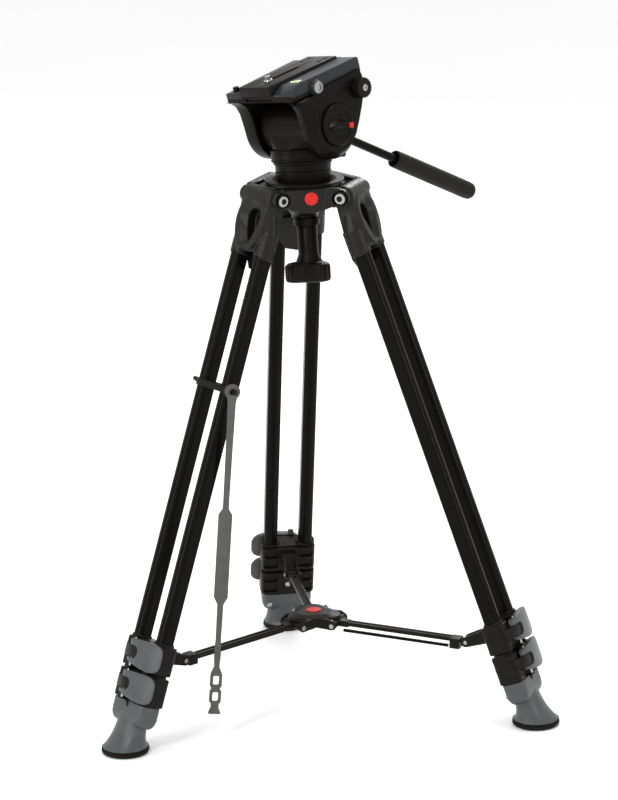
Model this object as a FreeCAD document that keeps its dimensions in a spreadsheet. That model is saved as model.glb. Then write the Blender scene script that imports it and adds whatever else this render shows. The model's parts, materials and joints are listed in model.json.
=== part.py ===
import FreeCAD, Part
import os
import re
from math import cos, radians, sin

# A video tripod with a fluid head, in millimetres, +Z up. The origin is on the floor under
# the axis of the crown. Legs a and b stand at the front, left and right, and leg c at the back.
# A leg's own frame has X outward from the leg, Y sideways and Z up along its centre line.
# The head's frame has X along the tilt axis, Y towards the pan bar and Z up the pan axis.

NAMED_SIZES = {
    # how the legs stand
    "leg_lean": 19.85, "leg_radius": 64.7, "leg_height": 531.25, "pivot_out": 2.9, "pivot_up": 40.7,
    # tube pairs: each stage is the one before it, less a wall and a running gap
    "tube_spread": 20, "tube_width": 15, "tube_bulge": 9.8, "bulge_offset": 0.51,
    "tube_wall": 1.2, "stage_gap": 0.3, "upper_top": -2, "middle_top": -25, "lower_top": -35,
    # yokes, the castings that hold the tubes and turn in the crown
    "yoke_width": 49.8, "yoke_barrel": 11.5, "yoke_shoulder": 5, "yoke_foot": -24, "yoke_skirt": 30.5,
    "yoke_depth": 13, "recess_radius": 9, "recess_floor": 5, "recess_up": 17, "recess_tip": -6,
    # clamps and their levers
    "clamp_top": -441, "clamp_height": 33.8, "clamp_pitch": 34.3, "clamp_half": 31,
    "clamp_inner": 14, "clamp_outer": 13, "tube_seat": 4, "ear": 1.3, "hinge_out": 17.5,
    "hinge_side": -6, "hinge_pin": 1.75, "lever_knuckle": 4, "lever_reach": 46, "lever_slack": 0.3,
    "lever_thick": 6.5, "running_gap": 0.05,
    # feet
    "foot_top": -509.6, "foot_bottom": -540, "foot_half": 27, "foot_depth": 25, "foot_seat": -535,
    "sole_radius": 26, "sole_thick": 6.5, "sole_out": 255.5, "ankle_radius": 16, "ankle_height": 30,
    # spreader
    "bracket_out": -43.7, "bracket_up": -457.6, "bracket_half": 5.3, "lug_thick": 3, "lug_radius": 5.5,
    "spreader_pin": 2, "hub_reach": 28, "hub_pin_height": 91.3, "arm_length": 151.072, "arm_fall": 2.0106,
    "arm_width": 9, "arm_thick": 4.5, "guide_radius": 2, "guide_side": -6.5, "guide_drop": -6.5,
    "hub_radius": 32, "hub_bottom": 86, "hub_plate": 97.5, "hub_top": 102, "hub_core": 16,
    "hub_cheek": 15, "hub_cheek_thick": 3.5,
    # crown and bowl
    "crown_core": 38, "crown_bottom": 556, "crown_top": 577, "ball_height": 575, "ball_radius": 30,
    "bowl_gap": 0.3, "bowl_wall": 4, "bowl_hole": 12.2, "lug_inside": 25.2, "crown_lug": 6,
    "lug_round": 9.5, "face_out": 54, "face_half": 30, "pivot_radius": 53.6, "pivot_height": 570.5,
    "bolt_radius": 4, "bolt_head": 6.65, "bolt_head_thick": 3.6, "socket_radius": 2.9,
    "flange_top": 583, "flange_radius": 42.5, "flange_foot": 38.5, "mouth_radius": 34,
    # how the ball and the head stand in the bowl
    "ball_lean": 8, "lean_azimuth": 100, "tilt_axis_azimuth": 306.8, "nose_down": 13.9,
    # levelling ball and its clamp
    "stud_radius": 4, "stud_end": -75, "neck_foot": 26.5, "neck_top": 29.7, "head_foot": 16,
    "washer_radius": 14, "washer_bore": 10.5, "washer_thick": 9.5, "stem_radius": 10.9,
    "stem_end": -82, "knob_end": -102, "knob_core": 20, "lobe_radius": 9, "lobe_reach": 17.5,
    # pan stage
    "ring_radius": 33.6, "base_thick": 10, "ring_top": 40, "spigot_radius": 12, "spigot_tall": 9,
    "pan_lock_height": 33, "pan_lock_radius": 6, "pan_lock_end": 47, "pan_lock_turn": 60,
    # tilt stage, from the tilt axis
    "axis_side": 1, "axis_back": 3, "axis_height": 64, "drum_radius": 30, "drum_half": 33.5,
    "cavity_radius": 22, "cavity_half": 28, "shaft_radius": 6, "shaft_half": 44,
    "cheek_inside": 35, "cheek_outside": 52, "cheek_radius": 36, "cheek_rise": -8,
    "receiver_floor": 42, "receiver_top": 58, "receiver_half": 53, "rail_right": -48, "rail_left": 50,
    "channel_floor": 49.7, "channel_half": 24, "channel_lean": 0.2326, "plate_gap": 0.3,
    "plate_floor": 50, "plate_top": 60, "plate_half": 56, "dial_radius": 23.5, "dial_seat": 49.5,
    "dial_face": 56, "grip_ridge": 4,
    # camera screw and the sockets for accessories
    "screw_radius": 3.175, "screw_neck": 2.7, "screw_front": -33, "screw_end": 65.5,
    "screw_head": 7.5, "slot_back": 10, "socket_side": 56, "socket_boss": 8, "socket_bore": 4,
    "socket_front": -17, "socket_up": 47,
    # small controls
    "lock_back": 50, "lock_up": 27, "lock_radius": 11, "button_radius": 3.5, "vial_radius": 5,
    # pan bar
    "bar_back": 33, "bar_drop": 5, "bar_side": -61, "bar_fall": 36, "rosette_radius": 14,
    "bar_radius": 4.8, "bar_start": 12, "grip_start": 176, "grip_end": 307, "grip_radius": 10,
    "bar_knob_radius": 10, "bar_knob_end": -80,
    # carrying strap
    "strap_height": -165, "peg_out": 9, "peg_radius": 2, "peg_end": 42.5, "peg_side": 37,
    "strap_lean": 13.95, "strap_twist": -30, "strap_thick": 3, "strap_ring": 8.2, "strap_hole": 4,
    "strap_narrow": 6, "strap_label_top": -130, "strap_label_end": -226, "strap_label": 14.6,
    "strap_end": -350, "link_radius": 6.4, "link_hole": 2.85,
}
LEGS = {"a": 210, "b": 330, "c": 90}
SIDES = (-1, 1)
THIRDS = (0, 120, 240)
PAST = 1  # how far a cutting tool runs past the face that it opens

Vector = FreeCAD.Vector
Rotation = FreeCAD.Rotation
Placement = FreeCAD.Placement
UPRIGHT = Rotation()
TURNS = {"x": Rotation(Vector(0, 1, 0), 90), "y": Rotation(Vector(1, 0, 0), -90), "z": UPRIGHT}
WORD = re.compile(r"[a-z][a-z_]*")

doc = FreeCAD.newDocument("fluid_head_tripod")
sheet = doc.addObject("Spreadsheet::Sheet", "sizes")
for row, (alias, number) in enumerate(NAMED_SIZES.items(), start=1):
    sheet.set(f"A{row}", alias.replace("_", " "))
    sheet.set(f"B{row}", str(number))
    sheet.setAlias(f"B{row}", alias)
doc.recompute()
nodes = []


def size(alias):
    """A driving dimension, read from the sheet."""
    return float(sheet.get(alias))


def bound(text):
    """An expression over the sheet: each named size gets the sheet's name in front."""
    return WORD.sub(lambda word: "sizes." + word.group() if word.group() in NAMED_SIZES else word.group(),
                    str(text))


def primitive(kind, start, turn, sizes):
    """One Part primitive, its sizes and its place bound to the sheet."""
    item = doc.addObject("Part::" + kind, kind)
    item.Placement = Placement(Vector(), turn)
    for name, text in sizes.items():
        item.setExpression(name, bound(text))
    for axis, text in zip("xyz", start):
        item.setExpression("Placement.Base." + axis, bound(text))
    return item


def block(spans):
    """A box from three (low, high) spans."""
    names = ("Length", "Width", "Height")
    lengths = {name: f"({high}) - ({low})" for name, (low, high) in zip(names, spans)}
    return primitive("Box", [low for low, high in spans], UPRIGHT, lengths)


def rod(radius, start, length, along="z"):
    """A cylinder that runs from start along an axis."""
    return primitive("Cylinder", start, TURNS[along], {"Radius": radius, "Height": length})


def cone(first_radius, last_radius, start, length, along="z"):
    sizes = {"Radius1": first_radius, "Radius2": last_radius, "Height": length}
    return primitive("Cone", start, TURNS[along], sizes)


def sphere(radius, centre=(0, 0, 0)):
    return primitive("Sphere", centre, UPRIGHT, {"Radius": radius})


def taper(low, high, bottom, top):
    """A block along Z whose outline changes from bottom to top: (low x, high x, half width)."""
    sizes = {"Ymin": low, "Ymax": high,
             "Xmin": bottom[0], "Xmax": bottom[1], "Zmin": f"-({bottom[2]})", "Zmax": bottom[2],
             "X2min": top[0], "X2max": top[1], "Z2min": f"-({top[2]})", "Z2max": top[2]}
    item = doc.addObject("Part::Wedge", "Wedge")
    item.Placement = Placement(Vector(), Rotation(Vector(1, 0, 0), 90))
    for name, text in sizes.items():
        item.setExpression(name, bound(text))
    return item


def fuse(*items):
    whole = doc.addObject("Part::MultiFuse", "Fuse")
    whole.Shapes = list(items)
    whole.Refine = True
    return whole


def common(*items):
    shared = doc.addObject("Part::MultiCommon", "Common")
    shared.Shapes = list(items)
    return shared


def cut(base, *tools):
    for tool in tools:
        result = doc.addObject("Part::Cut", "Cut")
        result.Base, result.Tool = base, tool
        base = result
    return base


def group(*items):
    """Separate solids that are one kind of piece."""
    together = doc.addObject("Part::Compound", "Group")
    together.Links = list(items)
    return together


def placed(item, place):
    """The item moved as a whole, past its own bound place."""
    moved = group(item)
    moved.Placement = place
    return moved


def node(label, item, place=Placement()):
    """Name a finished sub-part and put it where it belongs."""
    item.Label = label
    item.Placement = place
    nodes.append(item)


# --- frames -----------------------------------------------------------------------------------

def around(azimuth):
    return Placement(Vector(), Rotation(Vector(0, 0, 1), azimuth))


def leaning_leg():
    """A leg's own frame, before it is turned to its azimuth."""
    lean = Rotation(Vector(0, 1, 0), -size("leg_lean"))
    return Placement(Vector(size("leg_radius"), 0, size("leg_height")), lean)


def head_frame():
    """Centre of the levelling ball, Z up the pan axis and X along the tilt axis."""
    lean, toward = radians(size("ball_lean")), radians(size("lean_azimuth"))
    up = Vector(sin(lean) * cos(toward), sin(lean) * sin(toward), cos(lean))
    yaw = radians(size("tilt_axis_azimuth"))
    side = Vector(cos(yaw), sin(yaw), -(up.x * cos(yaw) + up.y * sin(yaw)) / up.z).normalize()
    return Placement(Vector(0, 0, size("ball_height")), Rotation(side, up.cross(side), up, "ZXY"))


def tilt_frame():
    """The tilt axis, with Z square to the camera plate."""
    centre = Vector(size("axis_side"), size("axis_back"), size("axis_height"))
    return head_frame() * Placement(centre, Rotation(Vector(1, 0, 0), size("nose_down")))


def bar_frame():
    """Foot of the pan bar, with Z along it."""
    foot = Vector(size("bar_side"), size("bar_back"), size("bar_drop"))
    return tilt_frame() * Placement(foot, Rotation(Vector(1, 0, 0), -90 - size("bar_fall")))


# --- legs -------------------------------------------------------------------------------------

def oval(inset, side, low, high, ease="0"):
    """A tube's section, two flats and two bulged ends, as a solid at one side of the leg."""
    half, radius = f"tube_width / 2 - ({inset}) + {ease}", f"tube_bulge - ({inset}) + {ease}"
    centre = f"{side} * tube_spread"
    flats = block(((-12, 12), (f"{centre} - ({half})", f"{centre} + ({half})"), (low, high)))
    ends = [rod(radius, (f"{end} * bulge_offset", centre, low), f"({high}) - ({low})") for end in SIDES]
    return common(flats, *ends)


def tube_pair(stage, low, high):
    outside = f"{stage} * (tube_wall + stage_gap)"
    inside = f"{outside} + tube_wall"
    past = f"{PAST}"
    tubes = [cut(oval(outside, side, low, high),
                 oval(inside, side, f"({low}) - {past}", f"({high}) + {past}")) for side in SIDES]
    return group(*tubes)


def yoke():
    barrel = rod("yoke_barrel", ("pivot_out", "-yoke_width / 2", "pivot_up"), "yoke_width", "y")
    neck = taper("yoke_shoulder", "pivot_up - 3", ("-yoke_depth + 1", "yoke_depth + 1", "yoke_width / 2"),
                 ("-yoke_depth + 5", "yoke_depth + 1", "yoke_width / 2"))
    skirt = taper("yoke_foot", "yoke_shoulder", ("-yoke_depth", "yoke_depth", "yoke_skirt"),
                  ("-yoke_depth + 1", "yoke_depth + 1", "yoke_width / 2"))
    body = fuse(barrel, neck, skirt)
    bore = rod("bolt_radius + running_gap", ("pivot_out", "-yoke_width", "pivot_up"), "2 * yoke_width", "y")
    recess = rod("recess_radius", ("recess_floor", 0, "recess_up"), 20, "x")
    tail = taper("recess_tip", "recess_up", ("recess_floor", 25, 3),
                 ("recess_floor", 25, "recess_radius - 1"))
    tubes = [oval("0", side, "yoke_foot - 5", "upper_top") for side in SIDES]
    gap = block(((-30, 30), ("-tube_spread + tube_width / 2 + 2", "tube_spread - tube_width / 2 - 2"),
                 ("yoke_foot - 5", "yoke_foot + 4")))
    return cut(body, bore, recess, tail, *tubes, gap)


def clamp(stage, top):
    """A clamp block fixed to one stage's tubes, with the ears and pin of its lever."""
    bottom = f"({top}) - clamp_height"
    outer = f"{stage} * (tube_wall + stage_gap)"
    inner = f"{outer} + tube_wall"
    hull = block((("-clamp_inner", "clamp_outer"), ("-clamp_half", "clamp_half"), (bottom, top)))
    ears = [block((("clamp_outer - 1", "hinge_out + 4"), ("hinge_side - 4", "hinge_side + 4"), span))
            for span in ((bottom, f"{bottom} + ear"), (f"({top}) - ear", top))]
    body = fuse(hull, *ears, rod("hinge_pin", ("hinge_out", "hinge_side", bottom), "clamp_height"))
    seats = [oval(outer, side, f"{bottom} + tube_seat", f"({top}) + {PAST}") for side in SIDES]
    throats = [oval(inner, side, f"{bottom} - {PAST}", f"{bottom} + tube_seat + {PAST}") for side in SIDES]
    return cut(body, *seats, *throats)


def bracket():
    """Two lugs and the pin that hold the spreader arm, on the inner side of the upper clamp."""
    lugs = []
    for side in SIDES:
        inside, outside = "bracket_half", "bracket_half + lug_thick"
        span = (inside, outside) if side > 0 else (f"-({outside})", f"-({inside})")
        lugs.append(block((("bracket_out", "1 - clamp_inner"), span,
                           ("bracket_up - lug_radius", "bracket_up + lug_radius"))))
        lugs.append(rod("lug_radius", ("bracket_out", span[0], "bracket_up"), "lug_thick", "y"))
    half = "bracket_half + lug_thick + 1"
    return lugs + [rod("spreader_pin", ("bracket_out", f"-({half})", "bracket_up"), f"2 * ({half})", "y")]


def upper_clamp():
    """The first stage's clamp also carries the spreader arm."""
    return fuse(clamp(0, "clamp_top"), *bracket())


def lever(top):
    low, high = f"({top}) - clamp_height + ear + lever_slack", f"({top}) - ear - lever_slack"
    knuckle = rod("lever_knuckle", ("hinge_out", "hinge_side", low), f"({high}) - ({low})")
    arm = block((("clamp_outer + 0.6", "clamp_outer + 0.6 + lever_thick"),
                 ("hinge_side", "hinge_side + lever_reach"), (low, high)))
    bore = rod("hinge_pin + running_gap", ("hinge_out", "hinge_side", f"({low}) - {PAST}"), "clamp_height")
    return cut(fuse(knuckle, arm), bore)


def foot():
    """Built upright, beside the floor: a block round the tubes on a flared ankle."""
    shank = block((("-foot_depth / 2", "foot_depth / 2"), ("-foot_half", "foot_half"),
                   ("foot_bottom", "foot_top")))
    tubes = [oval("2 * (tube_wall + stage_gap)", side, "foot_seat", f"foot_top + {PAST}") for side in SIDES]
    ankle = cone("sole_radius - 2", "ankle_radius", ("sole_out - 2", 0, "sole_thick"),
                 "ankle_height - sole_thick")
    rim = cone("sole_radius", "sole_radius - 4", ("sole_out", 0, "sole_thick"), 4)
    solid = fuse(placed(shank, leaning_leg()), ankle, rim)
    return cut(solid, placed(group(*tubes), leaning_leg()))


def sole():
    tread = rod("sole_radius", ("sole_out", 0, 2), "sole_thick - 2")
    return fuse(tread, cone("sole_radius - 2", "sole_radius", ("sole_out", 0, 0), 2))


def spreader_arm():
    """Ridged strut above and guide rod below, from the hub's pin at 0 to the bracket's pin."""
    strut = block(((3, "arm_length - 3"), ("-arm_width / 2", "arm_width / 2"),
                   ("-arm_thick / 2", "arm_thick / 2")))
    guide = rod("guide_radius", (14, "guide_side", "guide_drop"), "arm_length - 28", "x")
    sleeves = [block(((middle + " - 5", middle + " + 5"), ("guide_side - 2.6", "arm_width / 2"),
                      ("guide_drop - 2.6", "arm_thick / 2"))) for middle in ("arm_length - 22", "19")]
    hub_eye = rod(4.5, (0, "0.3 - hub_cheek", 0), "2 * (hub_cheek - 0.3)", "y")
    leg_eye = rod(4.5, ("arm_length", "0.3 - bracket_half", 0), "2 * (bracket_half - 0.3)", "y")
    bores = [rod("spreader_pin + running_gap", (reach, -20, 0), 40, "y") for reach in (0, "arm_length")]
    return cut(fuse(strut, guide, *sleeves, hub_eye, leg_eye), *bores)


def arm_frame():
    place = Vector(size("hub_reach"), 0, size("hub_pin_height"))
    return Placement(place, Rotation(Vector(0, 1, 0), size("arm_fall")))


for letter, azimuth in LEGS.items():
    leg, turned = around(azimuth) * leaning_leg(), around(azimuth)
    name = f"leg_{letter}_"
    node(name + "yoke", yoke(), leg)
    node(name + "upper_tubes", tube_pair(0, "clamp_top - clamp_height + tube_seat", "upper_top"), leg)
    node(name + "upper_clamp", upper_clamp(), leg)
    node(name + "upper_lever", lever("clamp_top"), leg)
    node(name + "middle_tubes",
         tube_pair(1, "clamp_top - clamp_pitch - clamp_height + tube_seat", "middle_top"), leg)
    node(name + "lower_clamp", clamp(1, "clamp_top - clamp_pitch"), leg)
    node(name + "lower_lever", lever("clamp_top - clamp_pitch"), leg)
    node(name + "lower_tubes", tube_pair(2, "foot_seat", "lower_top"), leg)
    node(name + "foot", foot(), turned)
    node(name + "foot_sole", sole(), turned)
    node(name + "spreader_arm", spreader_arm(), turned * arm_frame())


# --- spreader hub -----------------------------------------------------------------------------

def hub():
    plate = cone("hub_radius", "hub_radius - 4", (0, 0, "hub_plate"), "hub_top - hub_plate")
    core = rod("hub_core", (0, 0, "hub_bottom"), "hub_plate - hub_bottom + 1")
    pieces = [plate, core]
    for azimuth in LEGS.values():
        cheeks = []
        for side in SIDES:
            near, far = "hub_cheek", "hub_cheek + hub_cheek_thick"
            span = (near, far) if side > 0 else (f"-({far})", f"-({near})")
            cheeks.append(block(((20, "hub_reach + 4.5"), span, ("hub_bottom", "hub_plate + 1"))))
        half = "hub_cheek + hub_cheek_thick"
        pin = rod("spreader_pin", ("hub_reach", f"-({half})", "hub_pin_height"), f"2 * ({half})", "y")
        pieces.append(placed(fuse(*cheeks, pin), around(azimuth)))
    return fuse(*pieces)


node("spreader_hub", hub())


# --- crown ------------------------------------------------------------------------------------

def crown():
    """A bowl that carries three pairs of lugs, with a flat face between each two legs."""
    core = rod("crown_core", (0, 0, "crown_bottom"), "crown_top - crown_bottom")
    bowl = common(sphere("ball_radius + bowl_gap + bowl_wall", (0, 0, "ball_height")),
                  block(((-60, 60), (-60, 60), (500, "crown_bottom + 2"))))
    faces = [placed(block(((20, "face_out"), ("-face_half", "face_half"), ("crown_bottom", "crown_top"))),
                    around(azimuth + 60)) for azimuth in LEGS.values()]
    slots, lugs = [], []
    for azimuth in LEGS.values():
        slot = block((("crown_core", 90), ("-lug_inside", "lug_inside"), (500, 600)))
        slots.append(placed(slot, around(azimuth)))
        for side in SIDES:
            near, far = "lug_inside", "lug_inside + crown_lug"
            span = (near, far) if side > 0 else (f"-({far})", f"-({near})")
            web = block(((20, "pivot_radius"), span, ("pivot_height - lug_round", "crown_top")))
            eye = rod("lug_round", ("pivot_radius", span[0], "pivot_height"), "crown_lug", "y")
            lugs.append(placed(fuse(web, eye), around(azimuth)))
    body = fuse(cut(fuse(core, *faces), *slots), *lugs, bowl)
    hollow = sphere("ball_radius + bowl_gap", (0, 0, "ball_height"))
    mouth = rod("ball_radius + bowl_gap", (0, 0, "ball_height"), 20)
    hole = rod("bowl_hole", (0, 0, 500), 60)
    bores = [placed(bolt_hole(), around(azimuth)) for azimuth in LEGS.values()]
    return cut(body, hollow, mouth, hole, *bores)


def bolt_hole():
    """The hole of one pivot bolt, with a pocket at each end for its head."""
    pockets = [rod("bolt_head + bowl_gap", ("pivot_radius", low, "pivot_height"), 12, "y")
               for low in ("lug_inside + crown_lug", "-lug_inside - crown_lug - 12")]
    return fuse(rod("bolt_radius", ("pivot_radius", -50, "pivot_height"), 100, "y"), *pockets)


def bowl_ring():
    rim = cone("flange_foot", "flange_radius", (0, 0, "crown_top"), "flange_top - crown_top - 1.5")
    lip = rod("flange_radius", (0, 0, "flange_top - 1.5"), 1.5)
    mouth = cone("ball_radius + bowl_gap", "mouth_radius", (0, 0, "crown_top"), "flange_top - crown_top")
    return cut(fuse(rim, lip), mouth, rod("mouth_radius", (0, 0, "flange_top"), PAST))


def pivot_bolt(azimuth):
    end = "lug_inside + crown_lug"
    shank = rod("bolt_radius", ("pivot_radius", f"-({end})", "pivot_height"), f"2 * ({end})", "y")
    heads = []
    for low in (end, f"-({end}) - bolt_head_thick"):
        heads.append(rod("bolt_head", ("pivot_radius", low, "pivot_height"), "bolt_head_thick", "y"))
    sockets = []
    for low in (f"{end} + bolt_head_thick - 2.5", f"-({end}) - bolt_head_thick - 0.5"):
        socket = doc.addObject("Part::Prism", "Socket")
        socket.Polygon = 6
        socket.Placement = Placement(Vector(), TURNS["y"])
        for name, text in (("Circumradius", "socket_radius"), ("Height", 3),
                           ("Placement.Base.x", "pivot_radius"), ("Placement.Base.y", low),
                           ("Placement.Base.z", "pivot_height")):
            socket.setExpression(name, bound(text))
        sockets.append(socket)
    return placed(cut(fuse(shank, *heads), *sockets), around(azimuth))


node("crown", crown())
node("bowl_ring", bowl_ring())
node("leg_pivot_bolts", group(*[pivot_bolt(azimuth) for azimuth in LEGS.values()]))


# --- levelling ball and its clamp -------------------------------------------------------------

def levelling_ball():
    half = common(sphere("ball_radius"), block(((-40, 40), (-40, 40), (-40, 0))))
    neck = cone("neck_foot", "neck_top", (0, 0, 0), "head_foot")
    stud = rod("stud_radius", (0, 0, "stud_end"), "1 - stud_end")
    return fuse(half, neck, stud)


def clamp_washer():
    """Round on both faces about the ball's centre, so that it follows every lean."""
    inner = "ball_radius + bowl_gap + bowl_wall + 0.3"
    ring = common(sphere(f"{inner} + washer_thick"), rod("washer_radius", (0, 0, -60), 50))
    return cut(ring, sphere(inner), rod("washer_bore", (0, 0, -60), 50))


def clamp_handle():
    """Sleeve and three-lobed knob that pull the ball down into its bowl."""
    top = "-(ball_radius + bowl_gap + bowl_wall + washer_thick + 0.6)"
    stem = rod("stem_radius", (0, 0, "stem_end"), f"{top} - stem_end")
    knob = [rod("knob_core", (0, 0, "knob_end"), "stem_end - knob_end")]
    for turn in THIRDS:
        middle = (f"lobe_reach * cos({turn} deg)", f"lobe_reach * sin({turn} deg)", "knob_end")
        knob.append(rod("lobe_radius", middle, "stem_end - knob_end"))
    return cut(fuse(stem, *knob), rod("stud_radius + bowl_gap", (0, 0, "stud_end - 1"), 60))


head = head_frame()
node("levelling_ball", levelling_ball(), head)
node("clamp_washer", clamp_washer(), head)
node("clamp_handle", clamp_handle(), head)


# --- pan stage --------------------------------------------------------------------------------

def pan_base():
    ring = rod("ring_radius", (0, 0, "head_foot"), "base_thick")
    return fuse(ring, rod("spigot_radius", (0, 0, "head_foot + base_thick - 1"), "spigot_tall + 1"))


def head_body():
    """Turntable ring and the drum between the cheeks, hollow for the drag unit and the spring."""
    low = "head_foot + base_thick + 0.4"
    ring = rod("ring_radius", (0, 0, low), f"ring_top - ({low})")
    tower = block((("axis_side - drum_half + 3", "axis_side + drum_half - 3"), (-26, 30),
                   ("ring_top - 1", "axis_height")))
    drum = rod("drum_radius", ("axis_side - drum_half", "axis_back", "axis_height"), "2 * drum_half", "x")
    spigot = rod("spigot_radius + running_gap", (0, 0, f"{low} - {PAST}"), f"spigot_tall + {PAST}")
    cavity = rod("cavity_radius", ("axis_side - cavity_half", "axis_back", "axis_height"),
                 "2 * cavity_half", "x")
    bearing = rod("shaft_radius + running_gap", (-60, "axis_back", "axis_height"), 120, "x")
    lock = placed(rod(2.8, (27, 0, "pan_lock_height"), 10, "x"), around(size("pan_lock_turn")))
    return cut(fuse(ring, tower, drum), spigot, cavity, bearing, lock)


def pan_lock_knob():
    start = "ring_radius + 0.3"
    grip = rod("pan_lock_radius", (start, 0, "pan_lock_height"), f"pan_lock_end - ({start})", "x")
    return fuse(grip, rod(2.5, (28, 0, "pan_lock_height"), f"{start} - 27", "x"))


def drag_cartridge():
    """The damper cells: a can that fills one half of the drum round the shaft."""
    start = ("axis_side + 2", "axis_back", "axis_height")
    can = rod("cavity_radius - 0.1", start, "cavity_half - 2.5", "x")
    return cut(can, rod("shaft_radius + 0.3", (0, "axis_back", "axis_height"), 60, "x"))


def counterbalance_spring():
    """A stack of wound turns, as the close-wound torsion spring's outer shape."""
    start = ("axis_side - cavity_half + 1", "axis_back", "axis_height")
    turns = rod("cavity_radius - 4", start, "cavity_half - 3", "x")
    return cut(turns, rod("shaft_radius + 5", (-60, "axis_back", "axis_height"), 100, "x"))


node("pan_base", pan_base(), head)
node("head_body", head_body(), head)
node("pan_lock_knob", pan_lock_knob(), head * around(size("pan_lock_turn")))
node("drag_cartridge", drag_cartridge(), head)
node("counterbalance_spring", counterbalance_spring(), head)


# --- tilt stage -------------------------------------------------------------------------------

def cheek(low, high):
    """A side plate: round below the axis, flaring up to the length of the plate receiver."""
    disc = rod("cheek_radius", (low, 0, 0), f"({high}) - ({low})", "x")
    flare = taper("cheek_rise", "receiver_floor", (low, high, "cheek_radius - 1"),
                  (low, high, "receiver_half - 1"))
    return cut(fuse(disc, flare), rod("shaft_radius", ("-shaft_half", 0, 0), "2 * shaft_half", "x"))


def tilt_housing():
    left = cheek("cheek_inside", "cheek_outside")
    right = cheek("-cheek_outside", "-cheek_inside")
    seat = rod("dial_radius + 0.4", ("dial_seat", 0, 0), 10, "x")
    lock_hole = rod(3.3, ("cheek_outside - 7", "lock_back - 8", "lock_up"), 10, "x")
    boss_room = rod("socket_boss + bowl_gap", ("cheek_inside - 1", "socket_front", "socket_up"), 20, "x")
    bar_hole = rod(3.3, ("-cheek_outside - 1", "bar_back", "bar_drop"), 7, "x")
    return group(cut(left, seat, lock_hole, boss_room), cut(right, bar_hole))


def plate_receiver():
    body = block((("rail_right", "rail_left"), ("-receiver_half", "receiver_half"),
                  ("receiver_floor", "receiver_top")))
    rise = "(receiver_top + 1 - channel_floor)"
    top = f"channel_half - {rise} * channel_lean"
    channel = taper(0, rise, ("-channel_half", "channel_half", 80), (f"-({top})", top, 80))
    lift = placed(group(channel), Placement(Vector(0, 0, size("channel_floor")), UPRIGHT))
    boss = rod("socket_boss", ("rail_left - 12", "socket_front", "socket_up"),
               "socket_side - rail_left + 12", "x")
    socket = rod("socket_bore", ("socket_side - 13", "socket_front", "socket_up"), 20, "x")
    button = rod("button_radius + running_gap", (-40, -44, "receiver_top - 7"), 10)
    vial = rod("vial_radius", (38, -30, "receiver_top - 3"), 10)
    return cut(fuse(body, boss), lift, socket, button, vial)


def camera_plate():
    """Dovetail plate with a slot for the camera screw and room under it for the screw's head."""
    low = "channel_half - (plate_floor - channel_floor) * channel_lean - plate_gap"
    high = f"{low} - (plate_top - plate_floor) * channel_lean"
    wedge = taper("plate_floor", "plate_top", (f"-({low})", low, "plate_half"),
                  (f"-({high})", high, "plate_half"))
    slot = block((("-screw_radius - 0.3", "screw_radius + 0.3"), ("screw_front", "slot_back"), (40, 70)))
    ends = [rod("screw_radius + 0.3", (0, end, 40), 30) for end in ("screw_front", "slot_back")]
    pocket = block((("-screw_head - 0.5", "screw_head + 0.5"),
                    ("screw_front - screw_head - 0.5", "slot_back + 8"), (40, "plate_floor + 5.3")))
    return cut(wedge, slot, *ends, pocket)


def camera_screw():
    centre = ("0", "screw_front")
    thread = rod("screw_radius", (*centre, "plate_top + 0.3"), "screw_end - plate_top - 0.3")
    neck = rod("screw_neck", (*centre, "plate_floor + 4"), "plate_top - plate_floor - 3.5")
    return fuse(thread, neck, rod("screw_head", (*centre, "plate_floor + 1.2"), 3.8))


def tilt_lock_knob():
    dial = rod("dial_radius", ("dial_seat + 0.3", 0, 0), "dial_face - dial_seat - 0.3", "x")
    ridge = block((("dial_face - 1", "dial_face + grip_ridge"), ("-dial_radius + 3", "dial_radius - 8"),
                   (-5, 5)))
    return fuse(dial, ridge)


def plate_lock_knob():
    centre = ("lock_back - 8", "lock_up")
    grip = rod("lock_radius", ("cheek_outside + 0.4", *centre), 9.6, "x")
    return fuse(grip, rod(3, ("cheek_outside - 6", *centre), 8, "x"))


tilt = tilt_frame()
node("tilt_shaft", group(rod("shaft_radius", ("-shaft_half", 0, 0), "2 * shaft_half", "x")), tilt)
node("tilt_housing", tilt_housing(), tilt)
node("plate_receiver", plate_receiver(), tilt)
node("camera_plate", camera_plate(), tilt)
node("camera_screw", camera_screw(), tilt)
node("tilt_lock_knob", tilt_lock_knob(), tilt)
node("plate_lock_knob", plate_lock_knob(), tilt)
node("plate_safety_button", group(rod("button_radius", (-40, -44, "receiver_top - 4.5"), 7)), tilt)
node("bubble_level", group(rod("vial_radius", (38, -30, "receiver_top - 3"), 3.6)), tilt)


# --- pan bar ----------------------------------------------------------------------------------

def pan_bar_clamp():
    """Rosette against the cheek and the split socket that grips the bar."""
    face = "-cheek_outside - bar_side - 0.3"
    barrel = rod("rosette_radius", (face + " - 18", 0, 0), 18, "x")
    socket = rod("bar_radius + 3", (0, 0, 0), "bar_start + 16")
    screw_hole = rod(3.2, (-30, 0, 0), 60, "x")
    return cut(fuse(barrel, socket), screw_hole, rod("bar_radius", (0, 0, "bar_start"), 60))


def pan_bar():
    tube = rod("bar_radius", (0, 0, "bar_start"), "grip_end - bar_start - 6")
    return cut(tube, rod("bar_radius - 1.2", (0, 0, "bar_start - 1"), "grip_end - bar_start - 20"))


def pan_bar_grip():
    collar = cone("grip_radius - 2", "grip_radius", (0, 0, "grip_start"), 8)
    sleeve = cone("grip_radius", "grip_radius - 0.8", (0, 0, "grip_start + 8"), "grip_end - grip_start - 12")
    end = cone("grip_radius - 0.8", "grip_radius - 3.5", (0, 0, "grip_end - 4"), 4)
    bore = rod("bar_radius", (0, 0, "grip_start - 1"), "grip_end - grip_start - 5")
    return cut(fuse(collar, sleeve, end), bore)


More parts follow.
